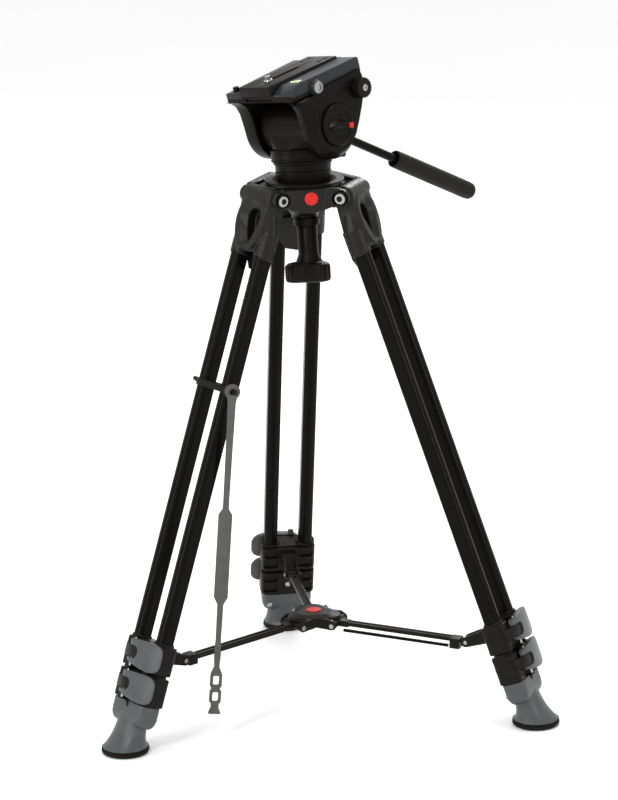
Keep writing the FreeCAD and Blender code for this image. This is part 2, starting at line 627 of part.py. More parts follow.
def pan_bar_knob():
    near = "-cheek_outside - bar_side - 18.6"
    grip = rod("bar_knob_radius", ("bar_knob_end - bar_side", 0, 0),
               f"{near} - (bar_knob_end - bar_side)", "x")
    return fuse(grip, rod(2.9, ("bar_knob_end - bar_side + 2", 0, 0), "-46.5 - bar_knob_end - 2", "x"))


bar = bar_frame()
node("pan_bar_clamp", pan_bar_clamp(), bar)
node("pan_bar", pan_bar(), bar)
node("pan_bar_grip", pan_bar_grip(), bar)
node("pan_bar_knob", pan_bar_knob(), bar)


# --- carrying strap ---------------------------------------------------------------------------

def strap_collar():
    """A band round both tubes of leg a, with a hook at one end and the strap's peg at the other."""
    span = ("strap_height - 3.5", "strap_height + 3.5")
    half, depth = "tube_spread + tube_width / 2", "9.4"
    band = block(((f"-{depth} - 2", f"{depth} + 2"), (f"-({half}) - 2.1", f"{half} + 2.1"), span))
    room = block(((f"-{depth}", depth), (f"-({half}) - 0.1", f"{half} + 0.1"),
                  ("strap_height - 5", "strap_height + 5")))
    peg = rod("peg_radius", ("peg_out", f"{half} + 1", "strap_height"), f"peg_end - ({half}) - 1", "y")
    hook = block(((-2.5, 2.5), (f"-({half}) - 14", f"-({half}) - 1"),
                  ("strap_height - 2.5", "strap_height + 2.5")))
    return fuse(cut(band, room), peg, hook)


def strap_frame():
    """The peg, with Z along the hanging strap, which is turned a little to face the front."""
    peg = Vector(size("peg_out"), size("peg_side"), size("strap_height"))
    hanging = Placement(peg, Rotation(Vector(0, 1, 0), size("strap_lean")))
    return around(LEGS["a"]) * leaning_leg() * hanging * around(size("strap_twist"))


def strip(half_width, low, high):
    return block(((f"-({half_width})", half_width), ("-strap_thick / 2", "strap_thick / 2"), (low, high)))


def carry_strap():
    """The strap, from its ring down to the two links with a hole each and the flared tail."""
    ring = rod("strap_ring", (0, "-strap_thick / 2", 0), "strap_thick", "y")
    upper = strip("strap_narrow / 2 + 1", "strap_label_top / 2", "-strap_ring + 1")
    lower = strip("strap_narrow / 2", "strap_end + 5", "strap_label_top / 2 + 1")
    label = strip("strap_label / 2", "strap_label_end", "strap_label_top")
    middles = ("strap_end + 37", "strap_end + 19")
    links = [rod("link_radius", (0, "-strap_thick / 2", middle), "strap_thick", "y") for middle in middles]
    tail = strip("link_radius", "strap_end", "strap_end + 6")
    holes = [block((("-link_hole", "link_hole"), (-9, 9), (f"{middle} - 4.6", f"{middle} + 4.6")))
             for middle in middles]
    eye = rod("strap_hole", (0, -9, 0), 18, "y")
    return cut(fuse(ring, upper, lower, label, *links, tail), eye, *holes)


node("strap_collar", strap_collar(), around(LEGS["a"]) * leaning_leg())
node("carry_strap", carry_strap(), strap_frame())


# --- check and write --------------------------------------------------------------------------

doc.recompute()
failed = [item.Label for item in doc.Objects if "Invalid" in item.State or "Error" in item.State]
failed += [item.Label for item in nodes if item.Shape.isNull() or not item.Shape.isValid()]
if failed:
    raise SystemExit("failed: " + ", ".join(failed))
os.makedirs("parts", exist_ok=True)
for item in nodes:
    item.Shape.exportStep(os.path.join("parts", item.Label + ".step"))
    print(f"{item.Label:24s} {len(item.Shape.Solids)} solids {item.Shape.Volume / 1000:9.2f} cm3")
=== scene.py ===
"""The looks of the video tripod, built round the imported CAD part.

Shapes are made in millimetres in the frame of their own sub-assembly: a leg, the crown, the head,
the tilt stage, the pan bar or the strap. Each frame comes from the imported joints.
"""

import json
from math import cos, pi, radians, sin, sqrt, tau

import bmesh
import bpy
from mathutils import Matrix, Vector


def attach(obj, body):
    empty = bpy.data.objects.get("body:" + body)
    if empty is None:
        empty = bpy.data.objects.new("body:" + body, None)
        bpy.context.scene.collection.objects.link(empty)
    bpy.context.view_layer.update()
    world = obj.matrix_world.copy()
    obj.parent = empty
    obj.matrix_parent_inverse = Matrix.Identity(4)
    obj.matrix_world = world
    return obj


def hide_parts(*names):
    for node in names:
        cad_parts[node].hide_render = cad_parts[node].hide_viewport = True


MM = 0.001
SIDES = (-1, 1)
LEGS = {"a": 210, "b": 330, "c": 90}

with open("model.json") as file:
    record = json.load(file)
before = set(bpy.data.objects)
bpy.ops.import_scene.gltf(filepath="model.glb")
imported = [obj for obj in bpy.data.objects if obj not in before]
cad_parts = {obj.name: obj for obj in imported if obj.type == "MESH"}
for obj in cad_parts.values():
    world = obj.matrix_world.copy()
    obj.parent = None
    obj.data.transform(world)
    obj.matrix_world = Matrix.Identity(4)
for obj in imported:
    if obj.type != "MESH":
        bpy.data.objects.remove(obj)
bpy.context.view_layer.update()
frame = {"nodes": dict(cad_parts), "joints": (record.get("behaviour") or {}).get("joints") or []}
JOINTS = {joint["name"]: joint for joint in frame["joints"]}


# --- camera -----------------------------------------------------------------------------------

def axes(x, y, z, origin):
    """A rigid frame from its three directions and its origin in metres."""
    turned = Matrix([x, y, z]).transposed().to_4x4()
    return Matrix.Translation(origin) @ turned


VIEW_AZIMUTH, VIEW_ELEVATION, VIEW_ROLL = radians(262.432), radians(15.109), radians(-1.261)
EYE, LENS = Vector((-0.5099, -3.8380, 1.3847)), 167.6


def set_camera():
    """The photograph's view: direction towards the camera, roll, place and focal length."""
    azimuth, elevation, roll = VIEW_AZIMUTH, VIEW_ELEVATION, VIEW_ROLL
    toward = Vector((cos(elevation) * cos(azimuth), cos(elevation) * sin(azimuth), sin(elevation)))
    level = Vector((-sin(azimuth), cos(azimuth), 0))
    above = toward.cross(level)
    right = level * cos(roll) + above * sin(roll)
    camera = bpy.data.objects.new("camera", bpy.data.cameras.new("camera"))
    camera.data.lens = LENS
    camera.data.clip_end = 50
    camera.matrix_world = axes(right, toward.cross(right), toward, EYE)
    bpy.context.scene.collection.objects.link(camera)
    bpy.context.scene.camera = camera


set_camera()


# --- shapes, in millimetres -------------------------------------------------------------------

def solid(points, faces):
    """A closed mesh from points in millimetres."""
    mesh = bpy.data.meshes.new("solid")
    mesh.from_pydata([Vector(point) * MM for point in points], [], faces)
    shape = bmesh.new()
    shape.from_mesh(mesh)
    bmesh.ops.remove_doubles(shape, verts=shape.verts, dist=1e-7)
    bmesh.ops.recalc_face_normals(shape, faces=shape.faces)
    shape.to_mesh(mesh)
    shape.free()
    item = bpy.data.objects.new("solid", mesh)
    bpy.context.scene.collection.objects.link(item)
    return item


def loft(rings, looped=False):
    """A skin through rings of equally many points, capped at both ends or closed on itself."""
    count, points = len(rings[0]), [point for ring in rings for point in ring]
    spans = len(rings) if looped else len(rings) - 1
    faces = []
    for ring in range(spans):
        this, following = ring * count, (ring + 1) % len(rings) * count
        for step in range(count):
            ahead = (step + 1) % count
            faces.append((this + step, this + ahead, following + ahead, following + step))
    if not looped:
        faces.append(tuple(range(count)))
        faces.append(tuple(range(len(points) - count, len(points))))
    return solid(points, faces)


AXES = {"x": Matrix.Rotation(pi / 2, 4, "Y"), "y": Matrix.Rotation(-pi / 2, 4, "X"), "z": Matrix()}


def moved(item, place=(0, 0, 0), turn=0, about="Z"):
    """The shape turned about an axis through the origin, in degrees, and then shifted."""
    shift = Matrix.Translation(Vector(place) * MM)
    item.data.transform(shift @ Matrix.Rotation(radians(turn), 4, about))
    return item


def block(x, y, z):
    """A box from three (low, high) spans."""
    corners = [(a, b, c) for c in z for b in y for a in x]
    faces = [(0, 1, 3, 2), (4, 5, 7, 6), (0, 1, 5, 4), (2, 3, 7, 6), (0, 2, 6, 4), (1, 3, 7, 5)]
    return solid(corners, faces)


def lathe(profile, start=(0, 0, 0), along="z", sides=64, looped=False):
    """A profile of (radius, height) turned round an axis."""
    rings = [[(radius * cos(tau * step / sides), radius * sin(tau * step / sides), height)
              for step in range(sides)] for radius, height in profile]
    item = loft(rings, looped)
    item.data.transform(Matrix.Translation(Vector(start) * MM) @ AXES[along])
    return item


def rod(radius, start, length, along="z", edge=0, end_radius=None, sides=48):
    """A cylinder or cone with an optional chamfer at both ends."""
    last = radius if end_radius is None else end_radius
    profile = [(radius, 0), (last, length)]
    if edge:
        profile = [(radius - edge, 0), (radius, edge), (last, length - edge), (last - edge, length)]
    return lathe(profile, start, along, sides)


def arc(centre, radius, start, end, steps=12):
    """Points of an arc, from one angle to another in degrees."""
    turns = [radians(start + (end - start) * step / steps) for step in range(steps + 1)]
    return [(centre[0] + radius * cos(turn), centre[1] + radius * sin(turn)) for turn in turns]


def rounded(low_x, high_x, low_y, high_y, radius):
    """The outline of a rectangle with round corners."""
    corners = (((high_x, high_y), 0, (-1, -1)), ((low_x, high_y), 90, (1, -1)),
               ((low_x, low_y), 180, (1, 1)), ((high_x, low_y), 270, (-1, 1)))
    outline = []
    for (x, y), turn, (inward_x, inward_y) in corners:
        outline += arc((x + inward_x * radius, y + inward_y * radius), radius, turn, turn + 90, 8)
    return outline


PLANES = {
    "x": lambda a, b, height: (height, a, b),
    "y": lambda a, b, height: (a, height, b),
    "z": lambda a, b, height: (a, b, height),
}


def prism(outline, low, high, along="z", top=None):
    """An outline run along an axis. Its two numbers are the other two axes, in order."""
    point = PLANES[along]
    ends = (outline, low), (top or outline, high)
    return loft([[point(a, b, height) for a, b in shape] for shape, height in ends])


def hull(*items):
    """The convex skin round one or more shapes."""
    shape = bmesh.new()
    for item in items:
        for vertex in item.data.vertices:
            shape.verts.new(vertex.co)
        bpy.data.objects.remove(item)
    bmesh.ops.convex_hull(shape, input=shape.verts)
    inner = [vertex for vertex in shape.verts if not vertex.link_faces]
    bmesh.ops.delete(shape, geom=inner, context="VERTS")
    bmesh.ops.dissolve_limit(shape, angle_limit=radians(0.5), verts=shape.verts, edges=shape.edges)
    bmesh.ops.recalc_face_normals(shape, faces=shape.faces)
    mesh = bpy.data.meshes.new("hull")
    shape.to_mesh(mesh)
    shape.free()
    item = bpy.data.objects.new("hull", mesh)
    bpy.context.scene.collection.objects.link(item)
    return item


def baked(item):
    """The shape with its modifiers made real."""
    graph = bpy.context.evaluated_depsgraph_get()
    mesh = bpy.data.meshes.new_from_object(item.evaluated_get(graph))
    item.modifiers.clear()
    item.data = mesh
    return item


def combined(base, tools, operation):
    """The base with each closed tool added, cut away or kept in common."""
    for tool in tools:
        step = base.modifiers.new("combine", "BOOLEAN")
        step.operation, step.object = operation, tool
        step.solver = "MANIFOLD"
    baked(base)
    for tool in tools:
        bpy.data.objects.remove(tool)
    return base


def union(base, *tools):
    return combined(base, tools, "UNION")


def minus(base, *tools):
    return combined(base, tools, "DIFFERENCE")


def overlap(base, *tools):
    return combined(base, tools, "INTERSECT")


def together(*items):
    """Several shapes as one piece, each keeping its own skin."""
    shape = bmesh.new()
    for item in items:
        shape.from_mesh(item.data)
    first = items[0]
    shape.to_mesh(first.data)
    shape.free()
    for item in items[1:]:
        bpy.data.objects.remove(item)
    return first


def soften(item, grain=0.8, rounds=4):
    """Round every edge of a casting: an even skin, smoothed."""
    skin = item.modifiers.new("skin", "REMESH")
    skin.mode, skin.voxel_size = "VOXEL", grain * MM
    smooth = item.modifiers.new("smooth", "SMOOTH")
    smooth.factor, smooth.iterations = 0.5, rounds
    return baked(item)


def bevel(item, width=0.6, angle=30, segments=3):
    """A small round on every sharp edge."""
    step = item.modifiers.new("edge", "BEVEL")
    step.width, step.segments = width * MM, segments
    step.limit_method, step.angle_limit = "ANGLE", radians(angle)
    return baked(item)


# --- materials --------------------------------------------------------------------------------

def ranged(tree, source, low, high):
    """A noise remapped to a range."""
    spread = tree.nodes.new("ShaderNodeMapRange")
    spread.inputs["From Min"].default_value = 0.3
    spread.inputs["From Max"].default_value = 0.7
    spread.inputs["To Min"].default_value = low
    spread.inputs["To Max"].default_value = high
    tree.links.new(source, spread.inputs["Value"])
    return spread.outputs["Result"]


def finish(name, colour, rough, metal=0.0, shade=0.12, cloud=60, grain=1500, bump=0.1, sheen=0.25,
           coat=0.0, stretch=(1, 1, 1)):
    """A surface with soft colour clouds, uneven gloss and a fine grain, in the piece's own frame."""
    material = bpy.data.materials.new(name)
    material.use_nodes = True
    tree = material.node_tree
    surface = tree.nodes["Principled BSDF"]
    surface.inputs["Metallic"].default_value = metal
    surface.inputs["Specular IOR Level"].default_value = sheen
    surface.inputs["Coat Weight"].default_value = coat
    surface.inputs["Coat Roughness"].default_value = 0.15
    place = tree.nodes.new("ShaderNodeTexCoord")
    scale = tree.nodes.new("ShaderNodeMapping")
    scale.inputs["Scale"].default_value = stretch
    tree.links.new(place.outputs["Object"], scale.inputs["Vector"])
    noises = []
    for size, detail in ((cloud, 4), (grain, 2)):
        noise = tree.nodes.new("ShaderNodeTexNoise")
        noise.inputs["Scale"].default_value = size
        noise.inputs["Detail"].default_value = detail
        tree.links.new(scale.outputs["Vector"], noise.inputs["Vector"])
        noises.append(noise.outputs["Fac"])
    clouds, fine = noises
    mix = tree.nodes.new("ShaderNodeMix")
    mix.data_type = "RGBA"
    mix.inputs["A"].default_value = (*[part * (1 - shade) for part in colour], 1)
    mix.inputs["B"].default_value = (*[part * (1 + shade) for part in colour], 1)
    tree.links.new(ranged(tree, clouds, 0, 1), mix.inputs["Factor"])
    tree.links.new(mix.outputs["Result"], surface.inputs["Base Color"])
    tree.links.new(ranged(tree, clouds, rough * 0.9, rough * 1.1), surface.inputs["Roughness"])
    relief = tree.nodes.new("ShaderNodeBump")
    relief.inputs["Strength"].default_value = bump
    relief.inputs["Distance"].default_value = 0.0002
    tree.links.new(fine, relief.inputs["Height"])
    tree.links.new(relief.outputs["Normal"], surface.inputs["Normal"])
    return material


FINISHES = {
    "anodised_black": finish("anodised_black", (0.0032, 0.0026, 0.002), 0.24, shade=0.2, cloud=30,
                             bump=0.05, sheen=0.06, stretch=(1, 1, 0.05)),
    "casting_charcoal": finish("casting_charcoal", (0.0068, 0.0063, 0.0054), 0.38, grain=2600, bump=0.3,
                               sheen=0.2),
    "slate_plastic": finish("slate_plastic", (0.047, 0.052, 0.052), 0.4, grain=2200, bump=0.15, sheen=0.4),
    "black_plastic": finish("black_plastic", (0.006, 0.0046, 0.0036), 0.38, grain=2200, bump=0.15,
                            sheen=0.1),
    "sole_rubber": finish("sole_rubber", (0.0075, 0.006, 0.005), 0.65, grain=2500, bump=0.3, sheen=0.1),
    "strap_rubber": finish("strap_rubber", (0.078, 0.076, 0.069), 0.65, cloud=90, grain=2500, bump=0.2,
                           sheen=0.15),
    "head_black": finish("head_black", (0.0036, 0.003, 0.0024), 0.34, grain=2600, bump=0.2, sheen=0.08),
    "receiver_blue_grey": finish("receiver_blue_grey", (0.013, 0.0152, 0.018), 0.36, grain=2600,
                                 bump=0.15, sheen=0.2),
    "chrome": finish("chrome", (0.36, 0.37, 0.35), 0.24, metal=1.0, shade=0.08, bump=0.03),
    "steel": finish("steel", (0.3, 0.3, 0.3), 0.3, metal=1.0, shade=0.1, bump=0.08),
    "badge_red": finish("badge_red", (0.5, 0.012, 0.01), 0.35, bump=0.05, shade=0.12, cloud=220),
    "vial": finish("vial", (0.4, 0.6, 0.2), 0.12, bump=0.02, coat=0.6),
    "grip_rubber": finish("grip_rubber", (0.0062, 0.0054, 0.0046), 0.6, grain=2200, bump=0.3, sheen=0.14),
}


def piece(item, name, body, slot, place, *nodes):
    """Finish a shape and hang it on its body, in place of the CAD nodes that it stands for."""
    item.name = item.data.name = name
    item.data.materials.clear()
    item.data.materials.append(FINISHES[slot])
    item.data.shade_smooth()
    item.data.set_sharp_from_angle(angle=radians(32))
    item.matrix_world = place
    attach(item, body)
    if nodes:
        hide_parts(*nodes)
    return item


# --- frames -----------------------------------------------------------------------------------

def direction(name):
    """A joint's axis."""
    return Vector(JOINTS[name]["axis"]).normalized()


def point_of(name):
    """A joint's place in metres."""
    return Vector(JOINTS[name]["pos_m"])


PIVOT_OUT, PIVOT_UP = 2.9, 40.7


def leg_frame(letter):
    """X outward, Y sideways and Z up along the leg's centre line."""
    up, side = -direction(f"leg_{letter}_middle_slide"), direction(f"leg_{letter}_fold")
    out = side.cross(up)
    origin = point_of(f"leg_{letter}_fold") - (out * PIVOT_OUT + up * PIVOT_UP) * MM
    return axes(out, side, up, origin)


def head_frame():
    """The ball's centre, X along the tilt axis and Z up the pan axis."""
    up, side = direction("pan"), direction("tilt")
    return axes(side, up.cross(side), up, point_of("ball_lean_back"))


def tilt_frame():
    """The tilt axis, with Z square to the camera plate."""
    side, up = direction("tilt"), direction("camera_screw_turn")
    return axes(side, up.cross(side), up, point_of("tilt"))


BAR_FALL = 36


def bar_frame():
    """The foot of the pan bar, with Z along it."""
    turned = tilt_frame().to_3x3() @ Matrix.Rotation(radians(-90 - BAR_FALL), 3, "X")
    return Matrix.Translation(point_of("pan_bar_angle")) @ turned.to_4x4()


STRAP_LEAN, STRAP_TWIST = 13.95, -30


def strap_frame():
    """The strap's peg, with Z up the hanging strap."""
    hang = Matrix.Rotation(radians(STRAP_LEAN), 3, "Y") @ Matrix.Rotation(radians(STRAP_TWIST), 3, "Z")
    turned = leg_frame("a").to_3x3() @ hang
    return Matrix.Translation(point_of("strap_hang")) @ turned.to_4x4()


# --- leg pieces -------------------------------------------------------------------------------

SPREAD, TUBE_HALF, BULGE, BULGE_OFFSET = 20, 7.5, 9.8, 0.51
WALL, STEP = 1.2, 1.5
CLAMP_TOP, CLAMP_HEIGHT, CLAMP_PITCH = -441, 33.8, 34.3
PIN_OUT, PIN_SIDE, TAIL_ROOM = 17.5, -6, 9.3
BRACKET_OUT, BRACKET_UP = -43.7, -457.6
FOOT_UNDER, TUBE_FOOT = -534.4, -527


def tube_outline(inset, side, sides=96):
    """A round tube with two flats and a small round where they meet."""
    outline = []
    for step in range(sides):
        turn = tau * step / sides
        flat = (TUBE_HALF - inset) / max(abs(sin(turn)), 1e-3)
        reach = BULGE - inset
        bulge = sqrt(reach ** 2 - (BULGE_OFFSET * sin(turn)) ** 2) - BULGE_OFFSET * abs(cos(turn))
        radius = (flat ** -40 + bulge ** -40) ** (-1 / 40)
        outline.append((radius * cos(turn), side * SPREAD + radius * sin(turn)))
    return outline


def tube_pair(stage, low, high):
    """Both tubes of one stage, as thin walls."""
    tubes = []
    for side in SIDES:
        outer, inner = tube_outline(stage * STEP, side), tube_outline(stage * STEP + WALL, side)
        rings = [[(x, y, low) for x, y in inner], [(x, y, low) for x, y in outer],
                 [(x, y, high) for x, y in outer], [(x, y, high) for x, y in inner]]
        tubes.append(loft(rings, looped=True))
    return together(*tubes)


def egg(inset=0.0, steps=64):
    """The outline of the yoke's face, wider at the top: (side, up)."""
    outline = []
    for step in range(steps):
        turn = tau * step / steps
        wide = (24.4 - inset) * (1 + 0.1 * sin(turn))
        outline.append((wide * cos(turn) / 1.04, 11 + (31 - inset) * sin(turn)))
    return outline


def teardrop(inset=0.0):
    """The deep hole in the yoke's face, round at the top and pointed below."""
    top = arc((0, 17.5), 9.4 - inset, -15, 195, 24)
    return top + [(-6.6 + inset * 0.8, 5), (-2.2 + inset * 0.5, -5 + inset), (0, -7 + inset),
                  (2.2 - inset * 0.5, -5 + inset), (6.6 - inset * 0.8, 5)]


def yoke():
    """A casting with a round knuckle, a dished face and two sockets for the tubes."""
    barrel = rod(11.3, (PIVOT_OUT, -24.6, PIVOT_UP), 49.2, "y", edge=2, sides=64)
    neck = hull(rod(10.8, (PIVOT_OUT, -23.4, PIVOT_UP), 46.8, "y"), block((-11, 11), (-24, 24), (-4, 6)))
    columns = [hull(rod(10.7, (0, side * SPREAD, -24), 28), rod(6, (1, side * 15, 24), 8))
               for side in SIDES]
    rim = prism(egg(), 0, 14.4, "x")
    body = soften(together(barrel, neck, *columns, rim), 0.8, 3)
    flare = prism(teardrop(-0.5), 9.5, 15.2, "x", top=teardrop(-9.5))
    hole = prism(teardrop(), -1, 30, "x")
    arches = [rod(9.6, (-20, side * SPREAD, -30.2), 40, "x") for side in SIDES]
    crease = hull(rod(7.6, (-20, 0, -24), 40, "x"), rod(7.6, (-20, 0, -34), 40, "x"))
    back = prism(rounded(-14, 14, -12, 26, 8), -20, -9.6, "x")
    body = minus(body, flare, hole, *arches, crease, back)
    plan = [(-21, 4), (21, 4), (20, -26), (13, -36), (0, -39), (-13, -36), (-20, -26)]
    web = prism(plan, -13.6, -10.4, "x")
    return soften(together(body, web), 0.75, 3)


def clamp_outline(grow=0.0):
    """Plan of a clamp block: (out, side), round where it follows the tubes."""
    return rounded(-14 - grow, 13 + grow, -31 - grow, 31 + grow, 7)


def clamp(top):
    """A clamp block with a raised collar, a recess for the lever and the tongue that holds it."""
    bottom, middle = top - CLAMP_HEIGHT, top - CLAMP_HEIGHT / 2
    body = prism(clamp_outline(-0.3), bottom, top - 3)
    collars = [rod(10.9, (0, side * SPREAD, top - 8), 8, edge=0.8) for side in SIDES]
    bridge = block((-9.5, 9.5), (-13, 13), (top - 6, top - 1.6))
    body = union(bevel(body, 1.2), *collars, bridge)
    recess = rod(TAIL_ROOM, (PIN_OUT, PIN_SIDE, bottom - 1), CLAMP_HEIGHT + 2)
    pockets = []
    for side in SIDES:
        low, high = side * SPREAD - 8.2, side * SPREAD + 8.2
        pockets.append(prism(rounded(low, high, bottom + 4, middle - 1.5, 2), -20, -11, "x"))
        pockets.append(prism(rounded(low, high, middle + 1, top - 6, 3.5), -20, -11, "x"))
    plan = [(12, -28), (5, -26), (5, 2), (14, 4), (16, 4), (18.4, 3), (19.6, 0.5), (19.4, -8), (16.8, -20)]
    tip = prism(rounded(-40, 4, middle - 6.2, middle + 6.2, 6), 0, 30, "x")
    tongue = overlap(prism(plan, middle - 6.3, middle + 6.3), tip)
    ears = [block((10, 20), (-9, -3), (bottom + low, bottom + low + 1.3))
            for low in (0, CLAMP_HEIGHT - 1.3)]
    return union(minus(body, recess, *pockets), bevel(tongue, 0.9, 35), *ears)


def bracket():
    """Lugs on the inner side of the upper clamp, for the spreader arm."""
    lugs = []
    for low in (-8.3, 5.3):
        eye = rod(5.5, (BRACKET_OUT, low, BRACKET_UP), 3, "y")
        lug = hull(eye, block((-14, -12), (low, low + 3), (-465, -449)))
        lugs.append(bevel(lug, 0.5))
    web = hull(block((-14, -12), (-8.3, 8.3), (-466, -449)), block((-27, -26), (-5.5, 5.5), (-463, -455)))
    return [*lugs, web]


def lever(top):
    """A curved lever, notched for the tongue and taller at its free end."""
    middle = top - CLAMP_HEIGHT / 2
    plan = [(13.7, -12), (14.6, -14.6), (17.4, -14.2), (19.8, -11.6), (21, -6), (21.2, 4), (20.6, 14),
            (19, 25), (16.8, 34), (15, 39.6), (13.8, 40), (13.6, 30)]
    body = prism(plan, middle - 17, middle + 17)
    front = [(-16, -8.6), (-4, -12), (14, -15), (26, -15.6), (33, -14.4), (37.4, -11.4), (39.6, -7),
             (40.4, -1), (40.4, 3), (39.4, 8.4), (36.8, 12.2), (32.6, 14.6), (26, 15.6), (10, 15),
             (-8, 13.6), (-13, 12), (-16, 9)]
    body = overlap(body, prism([(t, middle + w) for t, w in front], 5, 30, "x"))
    notch = prism(rounded(-30, 5, middle - 6.8, middle + 6.8, 6.6), 9, 40, "x")
    groove = rod(2.1, (PIN_OUT, PIN_SIDE, middle - 20), 40)
    return minus(bevel(body, 1.2, 33), notch, groove)


def lever_pin(top):
    """The hinge pin's bright head on top of the lever."""
    return rod(1.5, (PIN_OUT, PIN_SIDE, top - CLAMP_HEIGHT + 0.4), CLAMP_HEIGHT - 1.8, edge=0.3)


def foot_block():
    """The slate block that holds the lowest tubes, in the leg's frame."""
    rings = []
    for inset, up in ((0, -509.8), (0, -522), (0.6, -527), (2.4, -531), (5, -533.6), (7, FOOT_UNDER)):
        plan = rounded(-12.9 + inset, 12.9 - inset, -28.6 + inset, 28.6 - inset, 8 - inset)
        rings.append([(out, side, up) for out, side in plan])
    notch = prism([(-5, -509), (5, -509), (0, -517)], 9, 20, "x")
    return minus(loft(rings), notch)


SKIRT_TOP, SOLE_OUT, SKIRT_FOOT, SOLE_RADIUS = -519, 255.5, 6.4, 24.6


def skirt(leg):
    """The flare from inside the block down to the round sole, with its rings turning level."""
    start = leg @ Vector((0, 0, SKIRT_TOP * MM))
    bend = leg @ Vector((0, 0, -545 * MM))
    end = Vector((SOLE_OUT, 0, SKIRT_FOOT)) * MM
    outward, along = leg.to_3x3() @ Vector((1, 0, 0)), Vector((1, 0, 0))
    rings = []
    for step in range(21):
        part = step / 20
        middle = start * (1 - part) ** 2 + bend * 2 * part * (1 - part) + end * part ** 2
        flare = part ** 2.6
        deep, wide = 12.4 + (SOLE_RADIUS - 12.4) * flare, 20.5 + (SOLE_RADIUS - 20.5) * flare
        face = outward.lerp(along, part).normalized()
        rings.append([middle / MM + face * deep * cos(tau * turn / 72)
                      + Vector((0, wide * sin(tau * turn / 72), 0)) for turn in range(72)])
    return loft(rings)


def foot(letter, azimuth):
    """The foot's block and its flared skirt, in the world frame."""
    upright = Matrix.Rotation(radians(azimuth), 4, "Z")
    leg = upright.inverted() @ leg_frame(letter)
    body = foot_block()
    body.data.transform(leg)
    body = soften(together(body, skirt(leg)), 0.75, 5)
    body.data.transform(upright)
    return body


def sole():
    """A rubber disc with a groove above and a chamfered tread."""
    profile = [(0, 0), (22.5, 0), (24.6, 1.2), (25.4, 2.6), (25.4, 4.4), (24.4, 5), (24.4, 6), (24.9, 6.6),
               (0, 6.6)]
    return lathe(profile, (SOLE_OUT, 0, 0), sides=96)


def foot_bolts():
    """Bright heads on the inner side of the foot."""
    heads = [rod(3, (-13.6, side * 20.5, -524), 4, "x", edge=0.5, sides=24) for side in SIDES]
    return together(*heads)


def dress_leg(letter, azimuth):
    """All pieces of one leg."""
    name, place = f"leg_{letter}_", leg_frame(letter)
    upper, middle, lower = name + "upper", name + "middle", name + "lower"
    low = CLAMP_TOP - CLAMP_HEIGHT + 4
    piece(yoke(), upper + "_casting", upper, "casting_charcoal", place, name + "yoke")
    for stage, body, start, end in ((0, "upper", low, -2), (1, "middle", low - CLAMP_PITCH, -25),
                                    (2, "lower", TUBE_FOOT, -35)):
        piece(tube_pair(stage, start, end), name + body + "_tube_pair", name + body, "anodised_black", place,
              name + body + "_tubes")
    for stage, body, top in (("upper", upper, CLAMP_TOP), ("lower", middle, CLAMP_TOP - CLAMP_PITCH)):
        shell = clamp(top)
        if stage == "upper":
            shell = union(shell, *bracket())
        piece(shell, f"{name}{stage}_clamp_block", body, "black_plastic", place, f"{name}{stage}_clamp")
        piece(lever(top), f"{name}{stage}_lever_arm", f"{name}{stage}_lever", "slate_plastic", place,
              f"{name}{stage}_lever")
        piece(lever_pin(top), f"{name}{stage}_lever_pin", body, "chrome", place)
    screw = rod(3.2, (-14.6, 0, CLAMP_TOP - CLAMP_PITCH - 19), 2, "x", edge=0.4)
    piece(screw, name + "lower_clamp_screw", middle, "chrome", place)
    pin = rod(2.2, (BRACKET_OUT, -9.4, BRACKET_UP), 18.8, "y", edge=0.5)
    piece(pin, name + "bracket_pin", upper, "chrome", place)
    piece(foot(letter, azimuth), name + "foot_casting", lower, "slate_plastic", Matrix(), name + "foot")
    piece(moved(sole(), turn=azimuth), name + "sole_pad", lower, "sole_rubber", Matrix(), name + "foot_sole")
    piece(foot_bolts(), name + "foot_bolts", lower, "chrome", place)


# --- spreader ---------------------------------------------------------------------------------

ARM_LENGTH, ARM_FALL = 151.072, 2.0106


def arm_frame(letter):
    """The hub's pin of one arm, with X towards the pin at the leg."""
    end, side = point_of(f"leg_{letter}_arm_hinge"), direction(f"leg_{letter}_fold")
    level = side.cross(Vector((0, 0, 1)))
    along = level * cos(radians(ARM_FALL)) - Vector((0, 0, 1)) * sin(radians(ARM_FALL))
    return axes(along, side, along.cross(side), end - along * ARM_LENGTH * MM)


def strut():
    """A flat bar with two ridges along it, and an eye at each end."""
    plate = block((4, ARM_LENGTH - 4), (-4.2, 4.2), (-2.2, 1.2))
    ridges = [block((10, ARM_LENGTH - 14), (side * 3 - 1.2, side * 3 + 1.2), (0, 2.3)) for side in SIDES]
    hub_eye = rod(4.4, (0, -14.6, 0), 29.2, "y", edge=0.5)
    leg_eye = rod(4.4, (ARM_LENGTH, -4.9, 0), 9.8, "y", edge=0.5)
    sleeve = block((ARM_LENGTH - 18, ARM_LENGTH - 7), (-9, 4.6), (-8.6, 2.8))
    throat = block((0, 14), (-4.4, 4.4), (-3.6, 3))
    return bevel(union(plate, *ridges, hub_eye, leg_eye, throat, sleeve), 0.5)


def dress_arm(letter):
    name, place = f"leg_{letter}_arm", arm_frame(letter)
    piece(strut(), name + "_strut", name, "black_plastic", place, f"leg_{letter}_spreader_arm")
    guide = rod(1.8, (10, -6.5, -6.5), ARM_LENGTH - 30, "x", sides=24)
    piece(guide, name + "_guide_rod", name, "anodised_black", place)


HUB_REACH, HUB_HEIGHT = 28, 91.3


